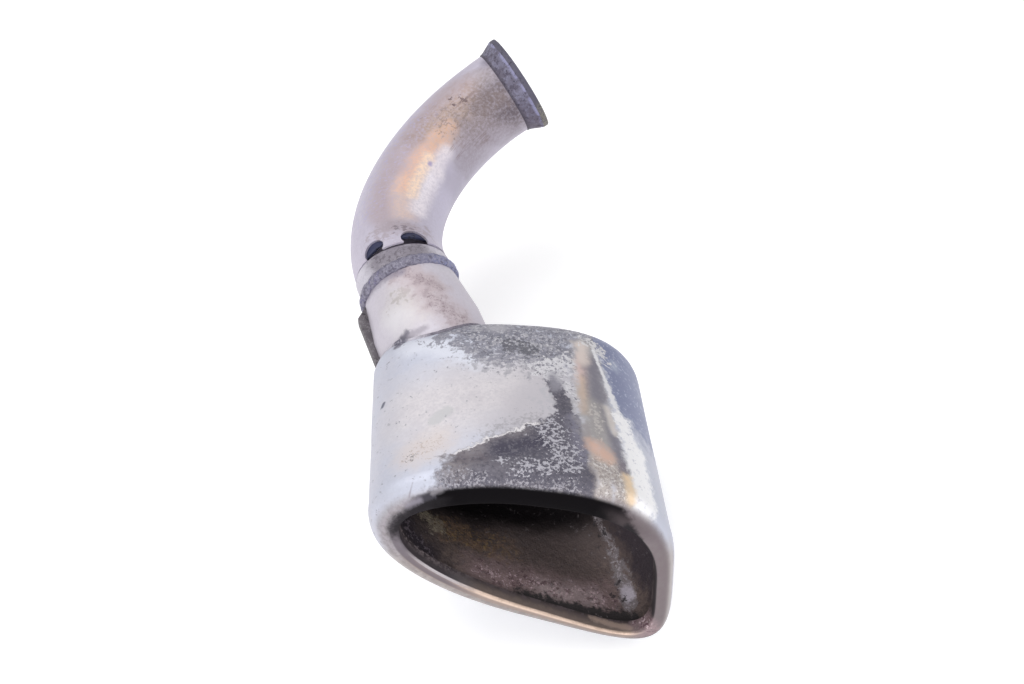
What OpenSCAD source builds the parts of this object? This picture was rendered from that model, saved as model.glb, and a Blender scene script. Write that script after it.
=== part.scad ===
// Exhaust tip of a family car: pressed casing with a rolled lip, inner duct,
// widening neck, collar, bent inlet pipe and flared clamp flange, welded into one.
// Millimetres. The origin is the centre of the flange's sealing face.
// The casing's own axis lies along Y and its mouth looks towards -Y; Z is up.

/* [Casing mouth] */
// Width across the mouth
tip_w = 154; // [150:0.5:164]
// Height in the middle of the mouth
tip_h = 94; // [92:0.5:104]
// Length from the lip to the flat back
tip_len = 142; // [130:1:160]
// Share by which the right end is taller than the middle
wedge = 0.18; // [0.12:0.01:0.22]
// Fall of the middle line to the right, as a slope
lean = 0.25; // [0.2:0.01:0.28]
// Squareness of the top right corner, 2 is an ellipse
square_tr = 2.76; // [2.4:0.02:3.4]
// Squareness of the bottom right corner
square_br = 4.6; // [3.6:0.1:5.2]
// Squareness of the top left corner
square_tl = 2; // [2:0.02:2.6]
// Squareness of the bottom left corner
square_bl = 2.43; // [2.1:0.01:3]
// Slope that sets the top of the mouth back
rake_z = 0.185; // [0.1:0.005:0.24]
// Slope that sets the left end of the mouth back
rake_x = 0.078; // [0:0.002:0.1]

/* [Casing sheet, lip and back] */
// Thickness of the casing sheet
sheet = 1.2; // [1:0.1:1.5]
// Outer radius of the rolled lip
nose_r = 11.7; // [10:0.1:12.4]
// Small radius where the lip turns into the mouth
turn_r = 1.6; // [1.5:0.1:2.4]
// Depth of the turned-in edge of the lip
lip_depth = 8.2; // [6.5:0.1:11]
// Shift of the opening to the right
open_x = 2.2; // [0:0.1:3]
// Shift of the opening downwards
open_z = 2; // [0:0.1:3]
// Radius of the shoulder round the back
shoulder_r = 24.2; // [20:0.2:26]
// Width of the back as a share of the mouth
rear_w = 0.973; // [0.96:0.001:1]
// Height of the back as a share of the mouth
rear_h = 0.985; // [0.97:0.001:1.02]
// Shift of the back to the right
rear_x = 5; // [2:0.1:6]
// Shift of the back downwards
rear_z = 6.8; // [5:0.1:8]

/* [Inner duct] */
// Thickness of the duct sheet
duct_sheet = 1; // [0.8:0.1:1.2]
// Gap between the duct and the turned-in lip
duct_gap = 0.15; // [0.1:0.05:0.4]
// Length of duct that sits over the turned-in lip
duct_lap = 3; // [2:0.1:5]

/* [Neck] */
// Centre of the upper weld left of the casing's middle, as a share of its width
neck_side = 0.31; // [0.3:0.005:0.32]
// Height of the upper weld above the middle of the mouth
neck_up = 17.7; // [16:0.1:19]
// Distance of the upper weld behind the casing
neck_back = 44.6; // [40:0.1:50]
// Turn of the neck to the left
neck_turn = 15.9; // [14:0.1:17]
// Rise of the neck
neck_rise = 11.3; // [10:0.1:12.5]
// Outer radius at the upper weld
neck_top_r = 27.6; // [27:0.1:28]
// Outer radius at the casing
neck_r = 32; // [31:0.1:32.4]
// Length of the widening part
cone_len = 33; // [28:0.5:38]
// Length of the neck inside the casing, from its flat back
neck_in = 20.7; // [19:0.1:24]
// Wall of the neck
neck_wall = 1.5; // [1.2:0.1:1.8]

/* [Saddle plate under the neck] */
// Height of the plate over the straight end of the neck
saddle_t = 3.2; // [2:0.1:4]
// Start of the plate below the upper weld, where it meets the neck
saddle_top = 5.5; // [5:0.1:8]
// Distance below the upper weld at which it has its full height
saddle_start = 12.5; // [10:0.5:16]
// End of the plate below the upper weld
saddle_end = 45; // [40:0.5:46]
// Left edge of the plate, degrees round the neck
saddle_left = 176; // [165:1:185]
// Right edge of the plate, degrees round the neck
saddle_right = 349; // [330:1:355]

/* [Collar and welds] */
// Outer radius of the collar
collar_r = 28.3; // [28:0.1:29]
// Height of the collar above the upper weld, in its middle
collar_h = 10.6; // [9.5:0.1:12]
// Fall of the collar's top to the right
collar_tilt = 5.8; // [3:0.1:7]
// Fall of the collar's top to the underside
collar_dip = 1.8; // [0:0.1:3]
// Length of the sleeve inside the bent pipe, degrees of its bend
sleeve_deg = 9; // [8:0.5:12]
// Wall of the sleeve
sleeve_wall = 1.2; // [1:0.1:1.6]
// Gap between the sleeve and the bent pipe
sleeve_gap = 0.15; // [0.1:0.05:0.3]
// Height of the upper weld bead over the neck
bead_h = 3; // [2:0.1:3.4]
// Width of the upper weld bead
bead_w = 6.4; // [5:0.2:7]
// Distance of the bead's middle below the joint
bead_drop = 1.4; // [0.8:0.1:1.8]
// Size of the weld between the neck and the casing
fillet = 1.5; // [1.2:0.1:2.4]

/* [Bent inlet pipe] */
// Outer radius of the pipe
pipe_r = 27.8; // [27:0.1:28.2]
// Wall of the pipe
pipe_wall = 1.5; // [1.2:0.1:2]
// Radius of the bend at the pipe's middle line
bend_r = 116.5; // [100:0.5:130]
// Angle of the bend
bend_deg = 87.2; // [75:0.1:92]
// Roll of the bend upwards from level
bend_roll = 24.2; // [15:0.1:32]
// Turn of the pipe's lower end to the left
pipe_turn = 12.2; // [11:0.1:14]
// Fall of the pipe's lower end
pipe_fall = 8.4; // [7:0.1:10]
// Distance from the upper weld to the start of the bend
pipe_start = 8.9; // [8:0.1:10]
// Shift of the pipe's lower end to the left of the neck
pipe_left = 0.4; // [0:0.1:0.6]
// Shift of the pipe's lower end above the neck
pipe_lift = 1.8; // [1:0.1:2]
// Radius of the half-moon notch on the top of the lower end
notch_r = 8; // [6:0.1:8.6]
// Radius of the smaller notch on its left
notch_s = 6.4; // [5:0.1:7]
// Place of the notch on the top, degrees round the neck
notch_a = 75; // [68:1:85]
// Place of the notch on the left, degrees round the neck
notch_b = 126; // [120:1:140]
// Height of the middle of each notch over the pipe's end
notch_up = 3; // [1:0.1:5]

/* [Inlet flange] */
// Outer radius of the flared rim
rim_r = 32.5; // [32:0.1:34]
// Depth of the flange along the pipe
flange_d = 13.5; // [12.5:0.1:16]
// Width of the flat sealing face
face_w = 2.6; // [2:0.1:3]
// Width of the cylindrical edge of the rim
rim_h = 3.6; // [2.5:0.1:4.5]
// Depth of the straight bore before the flare
land_d = 4; // [3:0.1:5]
// Step of the flange over the pipe where they meet
step_t = 0.5; // [0.3:0.1:1]

/* [Hidden] */
around = 80;
fine = 96;
open_inset = nose_r + turn_r;
shoulder_y = tip_len - shoulder_r;
bend_back = 7;
neck_len = neck_back / (cos(neck_turn) * cos(neck_rise)) + neck_in;
far = 2 * neck_r;

// Directions: along an axis turned and raised from +Y, across it, and up from it
function ahead(turn, rise) = [sin(turn) * cos(rise), cos(turn) * cos(rise), sin(rise)];
function across(turn) = [cos(turn), -sin(turn), 0];
function above(turn, rise) = cross(across(turn), ahead(turn, rise));
neck_dir = ahead(-neck_turn, neck_rise);
neck_x = across(-neck_turn);
neck_z = above(-neck_turn, neck_rise);
pipe_dir = ahead(-pipe_turn, -pipe_fall);
bend_to = cos(bend_roll) * across(-pipe_turn) + sin(bend_roll) * above(-pipe_turn, -pipe_fall);

// The middle of the upper weld, the start of the bend and the middle of the sealing face
weld_c = [-neck_side * tip_w, tip_len + neck_back, neck_up];
pipe_c = weld_c + neck_dir * pipe_start - pipe_left * neck_x + pipe_lift * neck_z;
end_dir = cos(bend_deg) * pipe_dir + sin(bend_deg) * bend_to;
face_c = pipe_c + bend_r * (1 - cos(bend_deg)) * bend_to + bend_r * sin(bend_deg) * pipe_dir
         + flange_d * end_dir;

module in_casing() translate(-face_c) children();
module on_neck() in_casing() translate(weld_c) rotate([0, 0, neck_turn]) rotate([neck_rise, 0, 0])
    rotate([-90, 0, 0]) children();
module on_pipe() in_casing() translate(pipe_c) rotate([0, 0, pipe_turn]) rotate([-pipe_fall, 0, 0])
    rotate([-90, 0, 0]) rotate([0, 0, -bend_roll]) children();
module at_cut() on_neck() translate([0, 0, collar_h]) rotate([-collar_dip, collar_tilt, 0]) children();
module after_bend() translate([bend_r, 0, 0]) rotate([0, bend_deg, 0]) translate([-bend_r, 0, 0])
    children();

// Cross-section of the casing: four quarter curves of their own squareness
function side(v) = v < 0 ? -1 : 1;
function square_at(a) = cos(a) >= 0 ? (sin(a) >= 0 ? square_tr : square_br)
                                    : (sin(a) >= 0 ? square_tl : square_bl);
function unit_at(a) =
    let (n = square_at(a), k = 2 / (1 + n / 2),
         x = side(cos(a)) * pow(abs(cos(a)), k), z = side(sin(a)) * pow(abs(sin(a)), k),
         r = pow(pow(abs(x), n) + pow(abs(z), n), -1 / n))
    [x * r, z * r];
function rake_at(y) = y < nose_r ? 1 : max(0, 1 - (y - nose_r) / (shoulder_y - nose_r));
function turn_share(y, inset) = y > nose_r || inset < sheet ? 0 : (inset - sheet) / (open_inset - sheet);
function casing_at(a, y, inset) =
    let (p = unit_at(a), s = y / tip_len, w = 1 + (rear_w - 1) * s, h = 1 + (rear_h - 1) * s,
         m = turn_share(y, inset),
         x = p[0] * (tip_w / 2 * w - inset) + rear_x * s + open_x * m,
         z = p[1] * (tip_h / 2 * (1 + wedge * p[0]) * h - inset)
             - lean * p[0] * tip_w / 2 * w - rear_z * s - open_z * m)
    [x, y + rake_at(y) * (rake_z * z - rake_x * x), z];
function casing_ring(r) = [for (i = [0 : around - 1]) casing_at(360 * i / around, r[0], r[1])];

// Skin over rings of equal count; a closed chain of rings makes a hollow body
function joined(rings) = [for (r = rings) for (p = r) p];
function band(j, k) = [for (i = [0 : around - 1]) let (n = (i + 1) % around)
    each [[j * around + i, k * around + i, k * around + n],
          [j * around + i, k * around + n, j * around + n]]];
module capped(rings) {
    last = len(rings) - 1;
    polyhedron(joined(rings), concat(
        [[for (i = [0 : around - 1]) i]],
        [for (j = [0 : last - 1]) each band(j, j + 1)],
        [[for (i = [around - 1 : -1 : 0]) last * around + i]]), 10);
}
module looped(rings) {
    last = len(rings) - 1;
    polyhedron(joined(rings), [for (j = [0 : last]) each band(j, (j + 1) % (last + 1))], 10);
}

// Rings of the shoulder and of the straight side, at a distance outside the casing
function shoulder_rings(out) = [for (a = [90 : -15 : 15])
    [shoulder_y + (shoulder_r + out) * sin(a), shoulder_r - (shoulder_r + out) * cos(a)]];
function wall_rings(out) = [for (t = [1 : -0.25 : 0.25])
    [nose_r + (shoulder_y - nose_r) * t, -out]];

// Casing: one sheet from the back over the shoulder and sides, round the lip and into the mouth
module shell_sheet() capped([
    for (r = shoulder_rings(0)) casing_ring(r),
    for (r = wall_rings(0)) casing_ring(r),
    for (a = [0 : 15 : 90]) casing_ring([nose_r * (1 - sin(a)), nose_r * (1 - cos(a))]),
    casing_ring([turn_r * (1 - cos(45)), nose_r + turn_r * sin(45)]),
    casing_ring([turn_r, open_inset]),
    casing_ring([lip_depth, open_inset]),
    casing_ring([lip_depth, open_inset - sheet]),
    casing_ring([turn_r, open_inset - sheet]),
    for (a = [90 : -15 : 0])
        casing_ring([nose_r - (nose_r - sheet) * sin(a), nose_r - (nose_r - sheet) * cos(a)]),
    for (i = [3 : -1 : 0]) casing_ring(wall_rings(-sheet)[i]),
    for (i = [5 : -1 : 0]) casing_ring(shoulder_rings(-sheet)[i])
]);
module tip_shell() color("LightSteelBlue") difference() {
    in_casing() shell_sheet();
    on_neck() neck_body(0);
}

// Layer of even thickness on the outside of the casing's rear
module rear_layer(out) in_casing() capped([
    for (r = shoulder_rings(out)) casing_ring(r),
    for (i = [0 : 1]) casing_ring(wall_rings(out)[i]),
    for (i = [1 : -1 : 0]) casing_ring(wall_rings(0)[i]),
    for (i = [5 : -1 : 0]) casing_ring(shoulder_rings(0)[i])
]);

// Duct: laps over the turned-in lip, then runs from that opening into the round neck
duct_in = open_inset - sheet - duct_gap;
duct_from = lip_depth + 1;
function throat_at(a, r) = weld_c - neck_dir * neck_len + r * (cos(a) * neck_x + sin(a) * neck_z);
function duct_at(a, t, inset, r) =
    let (f = casing_at(a, duct_from, inset), b = throat_at(a, r), m = t * t * (3 - 2 * t))
    [f[0] + (b[0] - f[0]) * m, f[1] + (b[1] - f[1]) * t, f[2] + (b[2] - f[2]) * m];
function duct_ring(t, inset, r) = [for (i = [0 : around - 1]) duct_at(360 * i / around, t, inset, r)];
module inner_duct() color("DimGray") in_casing() looped([
    for (i = [8 : -1 : 0]) duct_ring(i / 8, duct_in - duct_sheet, neck_r),
    casing_ring([lip_depth - duct_lap, duct_in - duct_sheet]),
    casing_ring([lip_depth - duct_lap, duct_in]),
    for (i = [0 : 8]) duct_ring(i / 8, duct_in, neck_r - duct_sheet)
]);

// Neck: a cone that runs into a straight end inside the casing
module neck_body(in) {
    translate([0, 0, -cone_len]) cylinder(h = cone_len, r1 = neck_r - in, r2 = neck_top_r - in, $fn = fine);
    translate([0, 0, -neck_len]) cylinder(h = neck_len - cone_len, r = neck_r - in, $fn = fine);
}
module neck_pipe() color("Silver") on_neck() difference() {
    neck_body(0);
    neck_body(neck_wall);
}

// Weld run in the corner between the neck and the casing's back
module neck_weld() color("SlateGray") intersection() {
    rear_layer(fillet);
    on_neck() translate([0, 0, -neck_len + 1]) difference() {
        cylinder(h = neck_len - cone_len - 1, r = neck_r + fillet, $fn = fine);
        translate([0, 0, -1]) cylinder(h = neck_len, r = neck_r, $fn = fine);
    }
}

// Curved plate under the neck: it starts at the upper weld and stands out from the cone
function cone_at(z) = neck_r - (neck_r - neck_top_r) * (1 + z / cone_len);
module support_saddle() color("DarkSlateGray") on_neck() rotate([0, 0, -saddle_right])
    rotate_extrude(angle = saddle_right - saddle_left, $fn = fine) polygon([
        [cone_at(-saddle_top), -saddle_top],
        [neck_r, -cone_len],
        [neck_r, -saddle_end],
        [neck_r + saddle_t, -saddle_end],
        [neck_r + saddle_t, -saddle_start]
    ]);

// Collar: a ring under the bent pipe with a sleeve that follows its bend
module bend_turn() translate([bend_r, 0, 0]) rotate([90, 0, 180]) rotate([0, 0, -bend_back]) children();
module bend_rod(r, deg) bend_turn() rotate_extrude(angle = bend_back + deg, $fn = fine)
    translate([bend_r, 0]) circle(r, $fn = 48);
sleeve_r = pipe_r - pipe_wall - sleeve_gap;
module collar() color("Gainsboro") difference() {
    union() {
        difference() {
            on_neck() cylinder(h = 2 * collar_h, r = collar_r, $fn = fine);
            at_cut() translate([-far, -far, 0]) cube([2 * far, 2 * far, far]);
        }
        difference() {
            on_pipe() bend_rod(sleeve_r, sleeve_deg);
            at_cut() translate([-far, -far, -far - 0.5]) cube([2 * far, 2 * far, far]);
        }
    }
    on_neck() translate([0, 0, -1]) cylinder(h = collar_h - 2, r = sleeve_r - sleeve_wall, $fn = fine);
    on_pipe() bend_rod(sleeve_r - sleeve_wall, sleeve_deg + 1);
}

// Bead of weld round the joint of neck and collar
module joint_weld() color("SteelBlue") on_neck() rotate_extrude($fn = fine) polygon([
    [cone_at(-bead_drop - bead_w / 2), -bead_drop - bead_w / 2],
    [neck_top_r + bead_h * 0.6, -bead_drop - bead_w * 0.45],
    [neck_top_r + bead_h * 0.9, -bead_drop - bead_w * 0.25],
    [neck_top_r + bead_h, -bead_drop],
    [neck_top_r + bead_h * 0.85, -bead_drop + bead_w * 0.3],
    [collar_r, -bead_drop + bead_w / 2],
    [collar_r, 0],
    [neck_top_r, 0]
]);

// Bent pipe with a half-moon notch on top of its lower end and a smaller one on the left
module notch(a, r) at_cut() translate([0, 0, notch_up]) rotate([0, 0, -a]) rotate([0, 90, 0])
    cylinder(h = far, r = r, $fn = fine);
module inlet_pipe() color("Thistle") difference() {
    on_pipe() bend_turn() rotate_extrude(angle = bend_back + bend_deg, $fn = fine)
        translate([bend_r, 0]) difference() {
            circle(pipe_r, $fn = fine);
            circle(pipe_r - pipe_wall, $fn = fine);
        }
    at_cut() translate([-far, -far, -far]) cube([2 * far, 2 * far, far]);
    notch(notch_a, notch_r);
    notch(notch_b, notch_s);
}

// Flared flange: a cone that opens from the pipe's end to a rim with a flat sealing face
module inlet_flange() color("MediumPurple") on_pipe() after_bend() rotate_extrude($fn = fine) polygon([
    [pipe_r - pipe_wall, 0],
    [pipe_r + step_t, 0],
    [pipe_r + step_t * 1.3, flange_d * 0.1],
    [pipe_r + step_t + (rim_r - pipe_r - step_t) * 0.4, flange_d * 0.36],
    [rim_r - step_t, flange_d - rim_h - step_t * 1.4],
    [rim_r, flange_d - rim_h],
    [rim_r, flange_d],
    [rim_r - face_w, flange_d],
    [pipe_r - pipe_wall, land_d]
]);

tip_shell();
inner_duct();
neck_pipe();
neck_weld();
support_saddle();
collar();
joint_weld();
inlet_pipe();
inlet_flange();
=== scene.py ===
import math
import bmesh
import bpy
from mathutils import Matrix, Vector, noise
from mathutils.bvhtree import BVHTree


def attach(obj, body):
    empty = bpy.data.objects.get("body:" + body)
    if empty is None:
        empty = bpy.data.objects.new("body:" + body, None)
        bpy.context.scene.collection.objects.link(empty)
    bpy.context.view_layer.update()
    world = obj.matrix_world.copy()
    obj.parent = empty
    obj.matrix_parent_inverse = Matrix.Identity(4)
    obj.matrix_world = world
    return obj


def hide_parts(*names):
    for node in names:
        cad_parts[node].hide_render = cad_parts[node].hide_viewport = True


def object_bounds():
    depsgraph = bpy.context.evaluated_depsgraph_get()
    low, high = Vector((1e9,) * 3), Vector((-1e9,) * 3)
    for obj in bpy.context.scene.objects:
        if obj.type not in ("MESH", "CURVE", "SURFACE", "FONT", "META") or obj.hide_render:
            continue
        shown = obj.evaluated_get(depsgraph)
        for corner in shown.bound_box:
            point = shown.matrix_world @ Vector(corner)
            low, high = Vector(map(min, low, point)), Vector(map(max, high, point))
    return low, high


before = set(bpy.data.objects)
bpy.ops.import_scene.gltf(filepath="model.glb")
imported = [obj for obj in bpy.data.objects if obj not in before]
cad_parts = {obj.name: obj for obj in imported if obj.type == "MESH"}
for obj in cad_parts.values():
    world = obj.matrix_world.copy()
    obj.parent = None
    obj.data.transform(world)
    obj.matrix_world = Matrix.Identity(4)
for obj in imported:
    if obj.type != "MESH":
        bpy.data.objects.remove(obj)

cad_low, cad_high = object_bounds()

# Casing: one pressed sheet of stainless steel, drawn to a wedge with a rounded back.
# Its front edge is rolled over and turned into the mouth. Soot and heat have marked
# the top, the front and the right-hand corner.
mm = 0.001
mouth_middle = Vector((-34.3537, -338.9282, -54.5183))
tip_w, tip_h, tip_len = 154, 94, 142
sheet, nose_r, turn_r, lip_depth = 1.2, 11.7, 1.6, 8.2
shoulder_r = 24.2
square_tr, square_br, square_tl, square_bl = 2.76, 4.6, 2.0, 2.43
wedge, lean, rake_z, rake_x = 0.18, 0.25, 0.185, 0.078
narrower, lower, rear_x, rear_z, open_x, open_z = 0.027, 0.015, 5, 6.8, 2.2, 2
shoulder_y = tip_len - shoulder_r
open_inset = nose_r + turn_r
neck_r, neck_top_r, cone_len, neck_len, neck_wall = 32, 27.6, 33, 67.99, 1.5


def wedge_outline(turn):
    """Point of the casing's section at an angle, on a section of half width and half height 1."""
    c, s = math.cos(turn), math.sin(turn)
    squareness = (square_tr if s >= 0 else square_br) if c >= 0 else (square_tl if s >= 0 else square_bl)
    k = 2 / (1 + squareness / 2)
    x = math.copysign(abs(c) ** k, c)
    z = math.copysign(abs(s) ** k, s)
    r = (abs(x) ** squareness + abs(z) ** squareness) ** (-1 / squareness)
    return x * r, z * r


def on_casing(turn, y, inset):
    """Point of the casing, in millimetres from the middle of the mouth."""
    px, pz = wedge_outline(turn)
    back = y / tip_len
    w = 1 - narrower * back
    h = 1 - lower * back
    turned = 0 if y > nose_r or inset < sheet else (inset - sheet) / (open_inset - sheet)
    x = px * (tip_w / 2 * w - inset) + rear_x * back + open_x * turned
    z = (pz * (tip_h / 2 * (1 + wedge * px) * h - inset)
         - lean * px * tip_w / 2 * w - rear_z * back - open_z * turned)
    rake = 1 if y < nose_r else max(0, 1 - (y - nose_r) / (shoulder_y - nose_r))
    return Vector((x, y + rake * (rake_z * z - rake_x * x), z))


def select_open_edges(piece):
    """Leaves the open edges of a mesh in edit mode selected."""
    bpy.ops.mesh.select_mode(type="EDGE")
    cage = bmesh.from_edit_mesh(piece.data)
    for e in cage.edges:
        e.select_set(e.is_boundary)
    bmesh.update_edit_mesh(piece.data)


def draw_out(name, sides, rings, place, ends="open"):
    """A circle is extruded ring by ring, and each ring is set to the piece's own section."""
    bpy.ops.object.select_all(action="DESELECT")
    bpy.ops.mesh.primitive_circle_add(vertices=sides, radius=1)
    piece = bpy.context.object
    piece.name = name
    piece.data.attributes.new("turn", "FLOAT", "POINT")
    piece.data.attributes.new("step", "FLOAT", "POINT")
    for v in piece.data.vertices:
        piece.data.attributes["turn"].data[v.index].value = 2 * math.pi * v.index / sides
    bpy.ops.object.mode_set(mode="EDIT")
    bpy.ops.mesh.select_mode(type="VERT")
    bpy.ops.mesh.select_all(action="SELECT")
    for i, ring in enumerate(rings):
        if i:
            bpy.ops.mesh.extrude_region_move()
        cage = bmesh.from_edit_mesh(piece.data)
        turns, steps = cage.verts.layers.float["turn"], cage.verts.layers.float["step"]
        for v in cage.verts:
            if v.select:
                v.co = place(v[turns], ring)
                v[steps] = i
        bmesh.update_edit_mesh(piece.data)
    if ends == "joined":
        select_open_edges(piece)
        bpy.ops.mesh.bridge_edge_loops()
    if ends == "closed":
        select_open_edges(piece)
        bpy.ops.mesh.edge_face_add()
    bpy.ops.mesh.select_all(action="SELECT")
    bpy.ops.mesh.normals_make_consistent(inside=False)
    bpy.ops.object.mode_set(mode="OBJECT")
    return piece


def turned_frame(place, turn, rise, roll=0):
    """Frame whose own Z runs along a pipe turned to the left and raised from +Y."""
    return (Matrix.Translation(place * mm) @ Matrix.Rotation(math.radians(turn), 4, "Z")
            @ Matrix.Rotation(math.radians(rise), 4, "X") @ Matrix.Rotation(math.radians(-90), 4, "X")
            @ Matrix.Rotation(math.radians(-roll), 4, "Z"))


neck_frame = turned_frame(mouth_middle + Vector((-47.74, 186.6, 17.7)), 15.9, 11.3)


def casing_place(turn, ring):
    """Point of the sheet, pushed in by shallow dents that share one depth inside and outside."""
    y, inset, share = ring
    if share:
        dent = 0.5 + 0.5 * noise.noise((on_casing(turn, y, inset) + Vector((7, 3, 11))) / 26)
        inset += share * 0.45 * dent
    return (mouth_middle + on_casing(turn, y, inset)) * mm


def arc(share, radius, degrees):
    """Rings of a quarter round of the sheet, which starts on the flat back or at the lip."""
    return [(shoulder_y + radius * math.sin(math.radians(a)),
             shoulder_r - radius * math.cos(math.radians(a)), share) for a in degrees]


outside = arc(0.6, shoulder_r, [90 - 7.5 * i for i in range(12)])
outside += [(nose_r + (shoulder_y - nose_r) * (1 - i / 24), 0, 1) for i in range(24)]
lip = [(nose_r * (1 - math.sin(math.radians(a))), nose_r * (1 - math.cos(math.radians(a))), 0)
       for a in range(0, 91, 6)]
lip += [(turn_r * (1 - math.cos(math.radians(a))), nose_r + turn_r * math.sin(math.radians(a)), 0)
        for a in (22.5, 45, 67.5, 90)]
lip += [(lip_depth, open_inset, 0), (lip_depth, open_inset - sheet, 0), (turn_r, open_inset - sheet, 0)]
lip += [(nose_r - (nose_r - sheet) * math.sin(math.radians(a)),
         nose_r - (nose_r - sheet) * math.cos(math.radians(a)), 0) for a in range(90, -1, -10)]
inside = [(nose_r + (shoulder_y - nose_r) * i / 8, sheet, 1) for i in range(1, 9)]
inside += arc(0.6, shoulder_r - sheet, [15 * i for i in range(1, 7)])
casing = draw_out("pressed_casing", 144, outside + lip + inside, casing_place, ends="closed")


def only(piece):
    """Selects one piece and makes it active."""
    bpy.ops.object.select_all(action="DESELECT")
    piece.select_set(True)
    bpy.context.view_layer.objects.active = piece


def cut_away(piece, cutter, frame_matrix):
    """Sets a cutter in a frame and takes its shape out of a piece."""
    cutter.matrix_world = frame_matrix
    bpy.ops.object.transform_apply(location=True, rotation=True, scale=True)
    cut = piece.modifiers.new("cut", "BOOLEAN")
    cut.object = cutter
    cut.operation = "DIFFERENCE"
    cut.solver = "EXACT"
    only(piece)
    bpy.ops.object.modifier_apply(modifier="cut")
    bpy.data.objects.remove(cutter, do_unlink=True)


bpy.ops.object.select_all(action="DESELECT")
bpy.ops.mesh.primitive_cylinder_add(vertices=144, radius=(neck_r - 0.2) * mm, depth=60 * mm)
cut_away(casing, bpy.context.object, neck_frame @ Matrix.Translation((0, 0, -40 * mm)))


def smooth_faces(piece, degrees):
    """Smooth shading, with a crease wherever the surface turns by more than an angle."""
    only(piece)
    bpy.ops.object.shade_smooth_by_angle(angle=math.radians(degrees))


smooth_faces(casing, 35)


def seen(red, green, blue):
    """A colour as the eye reads it, 0 to 255, made linear."""
    return tuple((c / 255 / 12.92 if c <= 10 else ((c / 255 + 0.055) / 1.055) ** 2.4)
                 for c in (red, green, blue)) + (1.0,)


def add_node(tree, kind, **settings):
    node = tree.nodes.new(kind)
    for key, value in settings.items():
        setattr(node, key, value)
    return node


def feed(tree, socket, value):
    """Links a socket to another, or sets it to a number, vector or colour."""
    if isinstance(value, bpy.types.NodeSocket):
        tree.links.new(value, socket)
    else:
        socket.default_value = value


def sum_of(tree, operation, *values):
    """Result of a math node."""
    node = add_node(tree, "ShaderNodeMath", operation=operation)
    for socket, value in zip(node.inputs, values):
        feed(tree, socket, value)
    return node.outputs[0]


def vector_of(tree, operation, *values):
    """Result of a vector math node: a length and a dot product are numbers."""
    node = add_node(tree, "ShaderNodeVectorMath", operation=operation)
    for socket, value in zip(node.inputs, values):
        feed(tree, socket, value)
    return node.outputs["Value" if operation in ("LENGTH", "DOT_PRODUCT") else "Vector"]


def fade_of(tree, value, low, high, from_value=0.0, to_value=1.0):
    """Smooth change from one value at low to another at high."""
    node = add_node(tree, "ShaderNodeMapRange", interpolation_type="SMOOTHSTEP")
    for name, given in (("Value", value), ("From Min", low), ("From Max", high),
                        ("To Min", from_value), ("To Max", to_value)):
        feed(tree, node.inputs[name], given)
    return node.outputs["Result"]


def new_group(name, inputs, outputs):
    """Shader group with named sockets, all numbers but the places."""
    group = bpy.data.node_groups.new(name, "ShaderNodeTree")
    for label, value in inputs:
        kind = "NodeSocketFloat" if isinstance(value, float) else "NodeSocketVector"
        socket = group.interface.new_socket(label, in_out="INPUT", socket_type=kind)
        socket.default_value = value
    for label in outputs:
        group.interface.new_socket(label, in_out="OUTPUT", socket_type="NodeSocketFloat")
    given, made = group.nodes.new("NodeGroupInput"), group.nodes.new("NodeGroupOutput")
    return group, given.outputs, made.inputs


nowhere = (0.0, 0.0, 0.0)


def cloud_group():
    """A cloud of fine grain, about 0.5 on average, from which edges and flecks are cut."""
    group, given, made = new_group("cloud", [("Place", nowhere), ("Grain", 100.0)], ["Level"])
    cloud = add_node(group, "ShaderNodeTexNoise")
    cloud.inputs["Detail"].default_value = 6
    cloud.inputs["Roughness"].default_value = 0.66
    feed(group, cloud.inputs["Vector"], given["Place"])
    feed(group, cloud.inputs["Scale"], given["Grain"])
    feed(group, made["Level"], cloud.outputs["Fac"])
    return group


def ragged_edge(group, given, made, distance):
    """Mask inside a distance of 1 and rim just outside it, both pushed about by the cloud."""
    swing = sum_of(group, "MULTIPLY", sum_of(group, "SUBTRACT", given["Cloud"], 0.5), given["Ragged"])
    edge = sum_of(group, "MULTIPLY_ADD", swing, 4.0, distance)
    inner = sum_of(group, "SUBTRACT", 1.0, given["Softness"])
    outer = sum_of(group, "ADD", 1.0, given["Softness"])
    feed(group, made["Mask"], fade_of(group, edge, inner, outer, 1.0, 0.0))
    off_edge = sum_of(group, "ABSOLUTE", sum_of(group, "SUBTRACT", edge, 1.0))
    feed(group, made["Rim"], fade_of(group, off_edge, 0.0, given["Rim Width"], 1.0, 0.0))


edge_inputs = [("Softness", 0.3), ("Ragged", 0.5), ("Rim Width", 0.06), ("Cloud", 0.5)]


def stain_group():
    """Stain that fills a stretched ball round a point."""
    group, given, made = new_group("stain", [("Place", nowhere), ("Middle", nowhere),
                                             ("Reach", (0.02, 0.02, 0.02))] + edge_inputs, ["Mask", "Rim"])
    away = vector_of(group, "SUBTRACT", given["Place"], given["Middle"])
    share = vector_of(group, "DIVIDE", away, given["Reach"])
    ragged_edge(group, given, made, vector_of(group, "LENGTH", share))
    return group


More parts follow.
